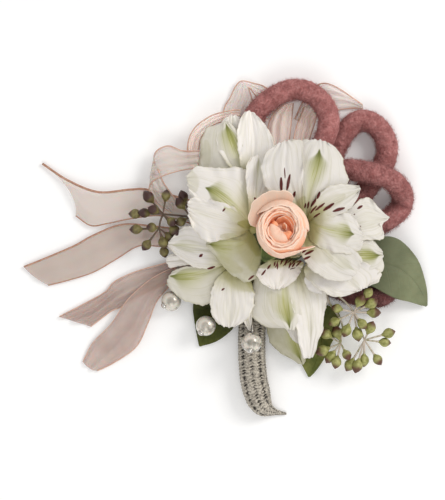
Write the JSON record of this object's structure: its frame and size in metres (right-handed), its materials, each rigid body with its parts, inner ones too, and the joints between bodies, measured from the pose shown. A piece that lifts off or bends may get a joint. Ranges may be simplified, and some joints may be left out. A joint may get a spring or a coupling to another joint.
{
  "type": "corsage",
  "caption": "Flower corsage with white alstroemeria round a peach spray rose, leaves, seeded sprays, mauve wool loops, a sheer ribbon bow, pearls and a braided stem.",
  "frame": {"origin": "centre of the bounding box in X and Y, on the table that the corsage lies on", "axes": "+X runs from the ribbon tails towards the wool loops, the stem points towards -Y, and +Z is the way the flowers face"},
  "size_m": [0.1851, 0.1519, 0.045],
  "materials": {
    "tepal_white": "soft, slightly waxy petal",
    "rose_peach": "soft petal",
    "calyx_green": "matte leaf",
    "stem_tape": "matte floral tape",
    "braid_silver": "metallic braid",
    "wool_mauve": "felted wool",
    "leaf_sage": "matte leaf",
    "leaf_dark": "satin leaf",
    "organza_blush": "sheer organza with a copper edge",
    "knot_blush": "gathered organza",
    "seed_brown": "matte seed capsules",
    "seed_green": "matte seed capsules",
    "pearl_ivory": "pearl lustre",
    "cap_silver": "bright silver wire"
  },
  "bodies": {
    "root": {"bloom_right": "tepal_white", "bloom_left": "tepal_white", "bloom_lower_right": "tepal_white", "bloom_lower": "tepal_white", "bloom_top": "tepal_white", "bloom_lower_left": "tepal_white", "bloom_bottom": "tepal_white", "spray_rose_petals": "rose_peach", "spray_rose_calyx": "calyx_green", "taped_stems": "stem_tape", "silver_braid": "braid_silver", "wool_loop_1": "wool_mauve", "wool_loop_2": "wool_mauve", "wool_loop_3": "wool_mauve", "wool_loop_4": "wool_mauve", "leaf_right": "leaf_sage", "leaf_lower_left": "leaf_dark", "leaf_bottom": "leaf_dark", "ribbon_tail_1": "organza_blush", "ribbon_tail_2": "organza_blush", "ribbon_tail_3": "organza_blush", "ribbon_tail_4": "organza_blush", "bow_loop_left": "organza_blush", "bow_loop_upper": "organza_blush", "bow_loop_top": "organza_blush", "bow_loop_right": "organza_blush", "bow_fold_left": "organza_blush", "bow_fold_right": "organza_blush", "bow_knot": "knot_blush", "seed_spray_left": "seed_brown", "seed_spray_right": "seed_green", "pearl_1": "pearl_ivory", "pearl_2": "pearl_ivory", "pearl_3": "pearl_ivory", "pearl_cap_1": "cap_silver", "pearl_cap_2": "cap_silver", "pearl_cap_3": "cap_silver", "pearl_wire_1": "cap_silver", "pearl_wire_2": "cap_silver", "pearl_wire_3": "cap_silver"}
  },
  "joints": []
}
